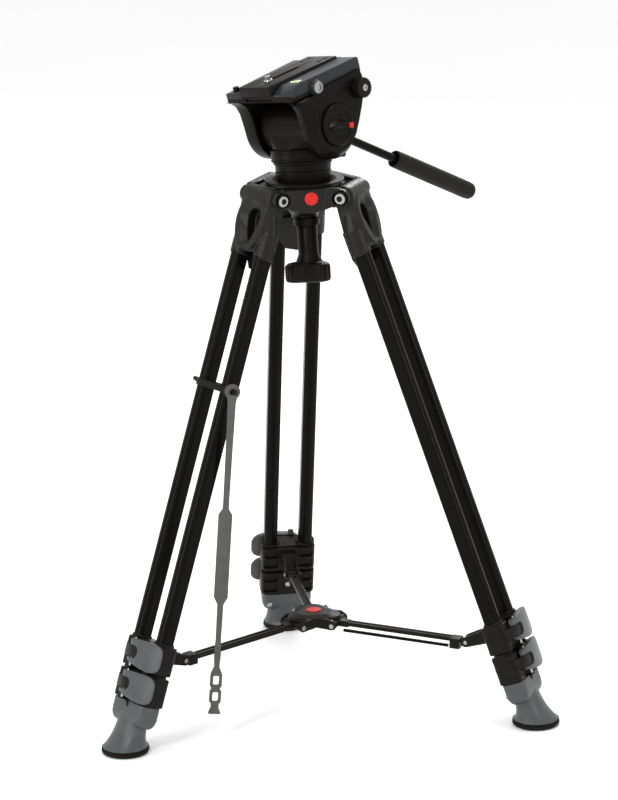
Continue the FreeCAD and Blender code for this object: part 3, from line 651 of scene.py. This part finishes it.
def hub():
    """A smooth three-cornered cap with a pair of cheeks over the pin of each arm."""
    corners, others = [], []
    for azimuth in LEGS.values():
        corners.append(moved(rod(17.4, (15, 0, 96.3), 2.6, end_radius=15.4), turn=azimuth))
        corners.append(moved(rod(9, (12, 0, 98), 3.6), turn=azimuth))
        others.append(moved(rod(12, (10, 0, 88.6), 9), turn=azimuth + 60))
        for side in SIDES:
            middle = side * 16.9
            eye = rod(4.8, (HUB_REACH, middle - 1.6, HUB_HEIGHT), 3.2, "y")
            root = block((6, 25), (middle - 1.6, middle + 1.6), (88, 98.6))
            others.append(moved(hull(eye, root), turn=azimuth))
    core = rod(15, (0, 0, 86.4), 12)
    return soften(together(core, hull(*corners), *others), 0.7, 4)


def dress_hub():
    upright = Matrix()
    piece(hub(), "hub_cap", "hub", "black_plastic", upright, "spreader_hub")
    badge = lathe([(0, 101.6), (8.2, 101.6), (8.2, 102.3), (7.6, 102.7), (0, 102.7)])
    piece(badge, "hub_badge", "hub", "badge_red", upright)
    pins = []
    for azimuth in LEGS.values():
        for side in SIDES:
            pin = rod(2.6, (HUB_REACH, side * 18.6 - 0.6, HUB_HEIGHT), 1.2, "y", edge=0.3)
            pins.append(moved(pin, turn=azimuth))
    piece(together(*pins), "hub_pin_heads", "hub", "chrome", upright)


# --- crown ------------------------------------------------------------------------------------

PIVOT_REACH, PIVOT_HEIGHT, LUG_SIDE = 53.6, 570.5, 28.2


def crown_face():
    """One plate between two legs, with a wavy lower edge, seen along X."""
    outline = [(-30, 577), (30, 577)]
    for step in range(25):
        part = 1 - 2 * step / 24
        outline.append((30 * part, 558.5 - 2.6 * cos(pi * part) + 3 * abs(part) ** 3))
    lip = [(-30, 571), (30, 571), (30, 581.4), (-30, 581.4)]
    return union(prism(outline, 24, PIVOT_REACH, "x"), prism(lip, 43.6, PIVOT_REACH, "x"))


def crown():
    """The casting that carries the bowl and the three pairs of lugs."""
    body = rod(38, (0, 0, 556), 21)
    tools = []
    for azimuth in LEGS.values():
        face = crown_face()
        lines = [[(side * 14, 583), (side * 16.4, 583), (side * 9.6, 550), (side * 7.6, 550)]
                 for side in SIDES]
        grooves = [prism(line, PIVOT_REACH - 1.2, 60, "x") for line in lines]
        tools.append(moved(minus(face, *grooves), turn=azimuth + 60))
        for side in SIDES:
            middle = side * LUG_SIDE
            lug = hull(rod(9.4, (PIVOT_REACH, middle - 3, PIVOT_HEIGHT), 6, "y"),
                       block((44, 46), (middle - 3, middle + 3), (560, 581)))
            tools.append(moved(lug, turn=azimuth))
    body = union(body, *tools)
    gaps = [moved(block((38.6, 90), (-25.1, 25.1), (500, 600)), turn=azimuth) for azimuth in LEGS.values()]
    bowl = lathe([(0, 541), (14.5, 541), (14.5, 545), (21, 553), (30, 558), (0, 558)])
    body = union(minus(body, *gaps), bowl)
    hollow = lathe([(0, 545), (12.5, 545), (30.5, 562), (30.5, 600), (0, 600)])
    hole = rod(12.2, (0, 0, 500), 60)
    pockets = []
    for azimuth in LEGS.values():
        for side in SIDES:
            start = 29.6 if side > 0 else -41.6
            pockets.append(moved(rod(8.1, (PIVOT_REACH, start, PIVOT_HEIGHT), 12, "y"), turn=azimuth))
    return soften(minus(body, hollow, hole, *pockets), 0.8, 3)


def bolt_heads():
    """Chrome socket heads at both ends of each leg's pivot bolt."""
    heads = []
    for azimuth in LEGS.values():
        shank = rod(4, (PIVOT_REACH, -30, PIVOT_HEIGHT), 60, "y")
        heads.append(moved(shank, turn=azimuth))
        for side in SIDES:
            profile = [(0, 0), (5.9, 0), (5.9, 2.8), (5.2, 3.6), (3.2, 3.6), (3.2, 1.2), (0, 1.2)]
            head = lathe(profile, sides=48)
            head.data.transform(AXES["y"])
            if side < 0:
                head.data.transform(Matrix.Rotation(pi, 4, "Z"))
            heads.append(moved(moved(head, (PIVOT_REACH, side * 31, PIVOT_HEIGHT)), turn=azimuth))
    return together(*heads)


def dress_crown():
    world = Matrix()
    piece(crown(), "crown_casting", "crown", "casting_charcoal", world, "crown")
    ring = lathe([(30.4, 577), (38.6, 577), (38.9, 578.4), (41.6, 580.2), (42.5, 581.4), (42.5, 582.6),
                  (42, 583), (34.2, 583)], looped=True, sides=96)
    piece(ring, "bowl_flange", "crown", "casting_charcoal", world, "bowl_ring")
    piece(bolt_heads(), "pivot_bolt_heads", "crown", "chrome", world, "leg_pivot_bolts")
    sockets = []
    for azimuth in LEGS.values():
        for start in (31.6, -34.8):
            socket = rod(3.2, (PIVOT_REACH, start, PIVOT_HEIGHT), 3.2, "y", sides=6)
            sockets.append(moved(socket, turn=azimuth))
    piece(together(*sockets), "pivot_bolt_sockets", "crown", "black_plastic", world)
    badges = []
    for azimuth in LEGS.values():
        disc = lathe([(0, 0), (6.9, 0), (6.9, 0.9), (6.3, 1.3), (0, 1.3)],
                     (PIVOT_REACH - 0.4, 0, PIVOT_HEIGHT + 1.1), "x", 48)
        badges.append(moved(disc, turn=azimuth + 60))
    piece(together(*badges), "crown_badges", "crown", "badge_red", world)


# --- head below the tilt stage ----------------------------------------------------------------

BALL_RADIUS, WASHER_UNDER, STEM_TOP = 30, 43.8, 44.4
WASHER_BORE, WASHER_RADIUS = 10.5, 13.9


def groove_rings(radius, low, high, lines):
    """A profile of a ring with thin grooves cut round it."""
    profile = [(0, low), (radius - 1, low), (radius, low + 1)]
    for height in lines:
        profile += [(radius, height - 0.6), (radius - 1.2, height - 0.4), (radius - 1.2, height + 0.4),
                    (radius, height + 0.6)]
    return profile + [(radius, high - 1), (radius - 1, high), (0, high)]


def clamp_knob():
    """A three-lobed knob with a ribbed skirt round its sleeve."""
    outline = []
    for step in range(180):
        turn = tau * step / 180
        lobe = 22.2 + 4.2 * cos(3 * turn)
        rib = 0.45 * cos(36 * turn)
        outline.append(((lobe + rib) * cos(turn), (lobe + rib) * sin(turn)))
    rings = []
    for scale, height in ((0.62, -80.5), (0.86, -81.5), (0.97, -83.5), (1, -86), (1, -98), (0.96, -100.8),
                          (0.85, -102), (0.0, -102)):
        rings.append([(x * scale, y * scale, height) for x, y in outline])
    return loft(rings)


def clamp_stem():
    """The knob's sleeve, domed about the ball's centre where it meets the washer."""
    domed = [(reach, -sqrt(STEM_TOP ** 2 - reach ** 2)) for reach in (0, 4, 7.5, 10.4)]
    return lathe(domed + [(10.9, -44.2), (10.9, -72), (11.4, -74), (13.5, -79), (15, -82.4), (0, -82.4)])


def dress_levelling():
    head = head_frame()
    steps = [radians(90 * step / 16) for step in range(17)]
    dome = [(BALL_RADIUS * sin(turn), -BALL_RADIUS * cos(turn)) for turn in steps]
    half = lathe(dome + [(27, 1), (26.5, 1.5), (29.7, 15), (29.7, 16), (0, 16)], sides=96)
    piece(half, "ball_shell", "ball", "head_black", head, "levelling_ball")
    piece(rod(3.9, (0, 0, -75), 50, sides=32), "ball_stud", "ball", "steel", head)
    under = [(reach, -sqrt(WASHER_UNDER ** 2 - reach ** 2)) for reach in (WASHER_RADIUS, 12.2, WASHER_BORE)]
    collar = lathe([(WASHER_BORE, -34.8), (WASHER_RADIUS, -34.8)] + under, looped=True)
    piece(collar, "washer_collar", "washer", "black_plastic", head, "clamp_washer")
    knob = together(clamp_stem(), clamp_knob())
    piece(knob, "clamp_knob", "clamp_handle", "black_plastic", head, "clamp_handle")


DRUM_WIDTH = 66.8


def drum_body():
    """Turntable ring, waist and the drum between the cheeks."""
    ring = lathe(groove_rings(33.6, 26.6, 40, (29.4, 37)), sides=96)
    waist = hull(lathe([(0, 39), (30, 39), (27, 43), (0, 43)]), rod(26, (-29, 3, 60), 60, "x"))
    drum = rod(30, (1 - DRUM_WIDTH / 2, 3, 64), DRUM_WIDTH, "x", edge=1.2, sides=96)
    return union(ring, waist, drum)


def dress_pan():
    head = head_frame()
    base = lathe([(0, 16), (28.6, 16), (29.4, 16.8), (29.9, 23.4), (31.4, 24.2), (31.4, 26.2), (0, 26.2)],
                 sides=96)
    piece(base, "turntable_base", "ball", "head_black", head, "pan_base")
    piece(drum_body(), "drum_body", "pan", "head_black", head, "head_body")
    knob = union(rod(6, (34, 0, 33), 12.8, "x", edge=1), rod(2.5, (28, 0, 33), 8, "x"))
    moved(knob, turn=60)
    piece(knob, "pan_lock_grip", "pan_lock", "black_plastic", head, "pan_lock_knob")


# --- tilt stage -------------------------------------------------------------------------------

SOCKET_BACK, SOCKET_UP = -17, 47
VIAL_SIDE, VIAL_BACK = 38, -30
LOCK_BACK, LOCK_UP = 42, 27
SCREW_BACK = -33


def cheek_outline(inset=0.0):
    """A side plate seen along the tilt axis, (back, up): round below, flaring to the receiver's end."""
    front = [(-52, 41.9), (-46, 39), (-40.5, 33.5), (-37.4, 25), (-36.4, 12)]
    below = arc((0, 0), 36 - inset, 180, 308, 24)
    back = [(30, -14.5), (38, -3.5), (46, 9), (52.4, 20), (56.4, 31), (57, 40), (55, 48)]
    front = [(x + inset * 1.5, up - inset * 0.6) for x, up in front]
    return front + below + [(x - inset * 0.8, up - inset * 0.35) for x, up in back]


def cheeks():
    """Both side plates: the near one has a broad bevel, the far one a rib along its rim."""
    back = prism(cheek_outline(), 35.2, 43, "x")
    face = prism(cheek_outline(), 42.9, 51.8, "x", top=cheek_outline(7))
    near = minus(union(back, face), rod(22.9, (49, 0, 0), 10, "x", sides=64))
    far = prism(cheek_outline(), -51.8, -35.2, "x")
    far = minus(far, prism(cheek_outline(4), -38.5, -34, "x"))
    return bevel(near, 0.9, 20), bevel(far, 0.9, 25)


def plate_channel():
    """The space that the dovetail plate slides in, with a little more width below."""
    return prism([(-24, 49.6), (24, 49.6), (21.6, 59.5), (-21.6, 59.5)], -80, 80, "y")


def receiver_floor():
    """The black floor of the receiver, with a recess under its front edge."""
    floor = block((-47.6, 49.6), (-52.8, 52.8), (42.1, 49.9))
    lip = block((-20, 20), (-60, -50.5), (43.5, 46.2))
    return bevel(minus(floor, plate_channel(), lip), 0.6, 28)


def rails():
    """The two long rails; the near one carries the boss of the accessory socket and the vial's well."""
    side = [(-53, 48.5), (-50, 46), (53, 46), (53, 56.8), (51, 58), (-40, 57.4), (-50, 53), (-53, 50.6)]
    right = prism(side, 25, 49.8, "x")
    left = prism([(-53, 46.5), (-48, 45), (53, 45), (53, 55.4), (-53, 52.6)], -47.8, -25, "x")
    boss = lathe([(0, 0), (7.9, 0), (7.9, 16), (6.9, 18), (0, 18)], (38, SOCKET_BACK, SOCKET_UP), "x", 48)
    socket = rod(4.4, (44, SOCKET_BACK, SOCKET_UP), 20, "x")
    well = rod(5.8, (VIAL_SIDE, VIAL_BACK, 54), 10)
    near = bevel(minus(union(right, boss), plate_channel(), socket, well), 0.6, 28)
    return together(near, bevel(minus(left, plate_channel()), 0.6, 28))


def camera_plate():
    """A ridged plate with a slot and small holes."""
    section = [(-23.6, 50), (23.6, 50), (21.4, 59.6)]
    for step in range(11):
        x = 20 - step * 4
        section += [(x + 1.4, 60), (x - 1.4, 60), (x - 1.8, 59.5)]
    section.append((-21.4, 59.6))
    body = prism(section, -56, 56, "y")
    slot = prism(rounded(-3.5, 3.5, -36.5, 13.5, 3.5), 40, 70)
    holes = [rod(2.2, (side * 12, y, 55), 10, sides=24) for side in SIDES for y in (30, 40)]
    step_end = block((-30, 30), (50, 60), (57, 70))
    return bevel(minus(body, slot, *holes, step_end), 0.35, 30, 2)


def camera_screw():
    dome = lathe([(0, 62.6), (2.6, 62.2), (4.4, 61.4), (5, 60.3), (0, 60.3)], (0, SCREW_BACK, 0), sides=40)
    thread = rod(3.1, (0, SCREW_BACK, 55), 10.4, edge=0.4, sides=32)
    return together(dome, thread)


def dial():
    """The tilt lock: a round dial with a raised blade, pointed at the front."""
    disc = lathe([(0, 49.8), (22.4, 49.8), (22.4, 54.2), (21.4, 55.4), (17.6, 55.8), (16.6, 54.9), (0, 54.9)],
                 along="x", sides=72)
    lens = [(-20.5, 4), (-13, 8), (-5, 9.6), (3, 7.6), (10, 2.6), (16, -2), (17, -6), (13, -9),
            (5, -8.6), (-4, -8), (-12, -4.4)]
    crest = [(-16, 2.6), (-10, 3.4), (-4, 3.4), (3, 1.6), (9, -1.6), (13, -3.6), (13.6, -5.2), (11, -6.2),
             (4, -3.4), (-4, 0), (-10, 1)]
    return union(disc, bevel(prism(lens, 52, 59.6, "x", top=crest), 0.5, 40))


def ribbed_knob(radius, start, length, ribs, depth=0.6):
    """A knob with shallow ribs round it, along X from its start."""
    outline = []
    for step in range(ribs * 6):
        turn = tau * step / (ribs * 6)
        reach = radius - depth / 2 + depth / 2 * cos(ribs * turn)
        outline.append((reach * cos(turn), reach * sin(turn)))
    rings = []
    for scale, along in ((0.9, 0), (1, 0.9), (1, length - 1), (0.9, length), (0.0, length)):
        rings.append([(start[0] + along, start[1] + a * scale, start[2] + b * scale) for a, b in outline])
    rings.insert(0, [(start[0], start[1], start[2])] * len(outline))
    return loft(rings)


def dress_tilt():
    tilt = tilt_frame()
    near, far = cheeks()
    piece(near, "cheek_near", "tilt", "head_black", tilt, "tilt_housing")
    piece(far, "cheek_far", "tilt", "head_black", tilt, "tilt_housing")
    piece(receiver_floor(), "receiver_floor", "tilt", "head_black", tilt, "plate_receiver")
    piece(rails(), "receiver_rails", "tilt", "receiver_blue_grey", tilt, "plate_receiver")
    piece(camera_plate(), "quick_plate", "plate", "black_plastic", tilt, "camera_plate")
    piece(camera_screw(), "quick_plate_screw", "screw", "chrome", tilt, "camera_screw")
    piece(dial(), "tilt_dial", "tilt_lock", "head_black", tilt, "tilt_lock_knob")
    dot = lathe([(0, 0), (3.1, 0), (3.1, 2.6), (2.7, 3), (0, 3)], (57.8, 12.2, -4.4), "x", 32)
    piece(dot, "tilt_dial_dot", "tilt_lock", "badge_red", tilt)
    knob = ribbed_knob(10.9, (52.4, LOCK_BACK, LOCK_UP), 9.4, 22)
    piece(knob, "plate_lock_grip", "plate_lock", "black_plastic", tilt, "plate_lock_knob")
    profile = [(0, 0), (3.6, 0), (3.6, 1), (3, 1.5), (1.5, 1.5), (1.5, 0.6), (0, 0.6)]
    screw = lathe(profile, (61.4, LOCK_BACK, LOCK_UP), "x", 32)
    piece(screw, "plate_lock_screw", "plate_lock", "chrome", tilt)
    button = rod(3.4, (-40, -44, 52.6), 4.9, edge=0.6, sides=32)
    piece(button, "safety_button_cap", "safety_button", "black_plastic", tilt, "plate_safety_button")
    bezel = lathe([(4.4, 55), (5.7, 55), (5.7, 57.8), (5.2, 58.2), (4.4, 57.8)],
                  (VIAL_SIDE, VIAL_BACK, 0), looped=True)
    piece(bezel, "vial_bezel", "tilt", "chrome", tilt)
    drop = lathe([(0, 54.8), (4.5, 54.8), (4.5, 57.6), (3, 58.4), (0, 58.6)],
                 (VIAL_SIDE, VIAL_BACK, 0), sides=40)
    piece(drop, "vial_glass", "tilt", "vial", tilt, "bubble_level")
    lining = lathe([(4, 0), (5.6, 0), (6.2, 0.9), (5.6, 1.4), (4, 1.4), (4, 0)],
                   (55.2, SOCKET_BACK, SOCKET_UP), "x", 40)
    piece(lining, "accessory_socket_lining", "tilt", "chrome", tilt)


# --- pan bar ----------------------------------------------------------------------------------

BAR_RADIUS, BAR_LENGTH, GRIP_END = 4.8, 280, 307


def dress_bar():
    """The rosette, the tube, the rubber grip with its open cup, and the knob."""
    bar = bar_frame()
    barrel = rod(13.8, (-9.3, 0, 0), 18, "x", edge=1, sides=64)
    socket = rod(8.4, (0, 0, 0), 28, edge=0.8)
    piece(union(barrel, socket), "bar_rosette", "pan_bar", "head_black", bar, "pan_bar_clamp")
    tube = rod(BAR_RADIUS, (0, 0, 12), BAR_LENGTH, sides=48)
    piece(tube, "bar_tube", "pan_bar", "anodised_black", bar, "pan_bar")
    grip = [(4.9, 186), (7.2, 186), (7.6, 177.4), (8.6, 176.2), (9.6, 177.4), (9.9, 181), (10, 240),
            (9.9, 299), (9.3, 303.4), (7.4, GRIP_END - 0.8), (4, GRIP_END), (0, GRIP_END), (0, 200),
            (4.9, 200)]
    piece(lathe(grip, sides=64), "bar_grip", "pan_bar", "grip_rubber", bar, "pan_bar_grip")
    knob = ribbed_knob(10, (-19, 0, 0), 9.3, 18)
    bolt = rod(2.8, (-17, 0, 0), 30, "x")
    piece(together(knob, bolt), "bar_knob", "pan_bar_lock", "black_plastic", bar, "pan_bar_knob")


# --- carrying strap ---------------------------------------------------------------------------

BAND_UP, STRAP_HALF = -165, 1.3


def strap_outline():
    """The strap from its ring down to its flared tail, half width against height."""
    return [(5.2, -6), (4.2, -12), (3.6, -60), (3.1, -118), (3.4, -126), (7.3, -132), (7.3, -222),
            (3.2, -230), (2.8, -268), (3.6, -284), (2.8, -298), (6.2, -306), (6.4, -319), (4.4, -322),
            (6.2, -325), (6.2, -336), (4.2, -339), (4.2, -343), (6.6, -349), (6, -350)]


def strap():
    """The rubber strip with its ring, its label and its two links."""
    half = strap_outline()
    outline = [(wide, high) for wide, high in half] + [(-wide, high) for wide, high in half[::-1]]
    body = prism(outline, -STRAP_HALF, STRAP_HALF, "y")
    ring = rod(8.1, (0, -1.4, 0), 2.8, "y")
    holes = [prism(rounded(-3.2, 3.2, middle - 5, middle + 5, 1.8), -9, 9, "y") for middle in (-313, -331)]
    eye = rod(3.4, (0, -9, 0), 18, "y")
    return bevel(minus(union(body, ring), *holes, eye), 0.5, 40, 2)


def collar_band():
    """A rubber band round both tubes, with a hook at one end and a nub at the other."""
    outer, inner = rounded(-11.2, 11.2, -29.6, 29.6, 9), rounded(-9.4, 9.4, -27.6, 27.6, 8)
    low, high = BAND_UP - 3.5, BAND_UP + 3.5
    rings = [[(x, y, low) for x, y in inner], [(x, y, low) for x, y in outer],
             [(x, y, high) for x, y in outer], [(x, y, high) for x, y in inner]]
    band = loft(rings, looped=True)
    peg = rod(1.9, (9, 27, BAND_UP), 15.5, "y", sides=24)
    cap = rod(3, (9, 41.3, BAND_UP), 1.2, "y", edge=0.3, sides=24)
    hook = hull(block((-2.4, 2.4), (-30, -28), (-168, -162)), rod(2.2, (-2.2, -40, -163.5), 4.4, "x"))
    return bevel(union(band, peg, cap, hook), 0.4, 40, 2)


def dress_strap():
    piece(collar_band(), "strap_band", "leg_a_upper", "black_plastic", leg_frame("a"), "strap_collar")
    piece(strap(), "strap_strip", "strap", "strap_rubber", strap_frame(), "carry_strap")


# --- stage ------------------------------------------------------------------------------------

def area_light(name, place, target, width, height, power):
    light = bpy.data.lights.new(name, "AREA")
    light.shape, light.size, light.size_y, light.energy = "RECTANGLE", width, height, power
    item = bpy.data.objects.new(name, light)
    item.location = place
    item.rotation_euler = (Vector(target) - Vector(place)).to_track_quat("-Z", "Y").to_euler()
    bpy.context.scene.collection.objects.link(item)


def floor_finish():
    return finish("floor_finish", (0.93, 0.93, 0.93), 0.9, shade=0.005, cloud=2, bump=0.0, sheen=0.1)


FLOOR_REACH, FLOOR_UP = 9000, -0.2


def set_stage():
    """A pale floor, a white world and five soft lights."""
    corners = [(x * FLOOR_REACH, y * FLOOR_REACH, FLOOR_UP) for x, y in ((-1, -1), (1, -1), (1, 1), (-1, 1))]
    floor = solid(corners, [(0, 1, 2, 3)])
    floor.name = "floor"
    floor.data.materials.append(floor_finish())
    world = bpy.data.worlds.new("studio")
    world.use_nodes = True
    background = world.node_tree.nodes["Background"]
    background.inputs["Color"].default_value = (1, 1, 1, 1)
    background.inputs["Strength"].default_value = 1.0
    bpy.context.scene.world = world
    area_light("key", (-1.8, -2.2, 2.2), (0, 0, 0.45), 0.5, 0.9, 34)
    area_light("fill", (2.4, -1.6, 1.3), (0, 0, 0.4), 0.35, 1.2, 14)
    area_light("top", (0.2, 0.3, 2.6), (0, 0, 0.4), 0.6, 0.6, 14)
    area_light("strip", (-2.4, -0.9, 1.0), (0, 0, 0.5), 0.12, 1.6, 16)
    area_light("rim", (1.0, 2.4, 1.8), (0, 0, 0.5), 0.9, 0.5, 26)
    bpy.context.scene.view_settings.view_transform = "Standard"


# --- all of it --------------------------------------------------------------------------------

for letter, azimuth in LEGS.items():
    dress_leg(letter, azimuth)
    dress_arm(letter)
dress_hub()
dress_crown()
dress_levelling()
dress_pan()
dress_tilt()
dress_bar()
dress_strap()
for kept in ("tilt_shaft", "drag_cartridge", "counterbalance_spring"):
    node = frame["nodes"][kept]
    node.data.materials.clear()
    node.data.materials.append(FINISHES["steel"])
set_stage()
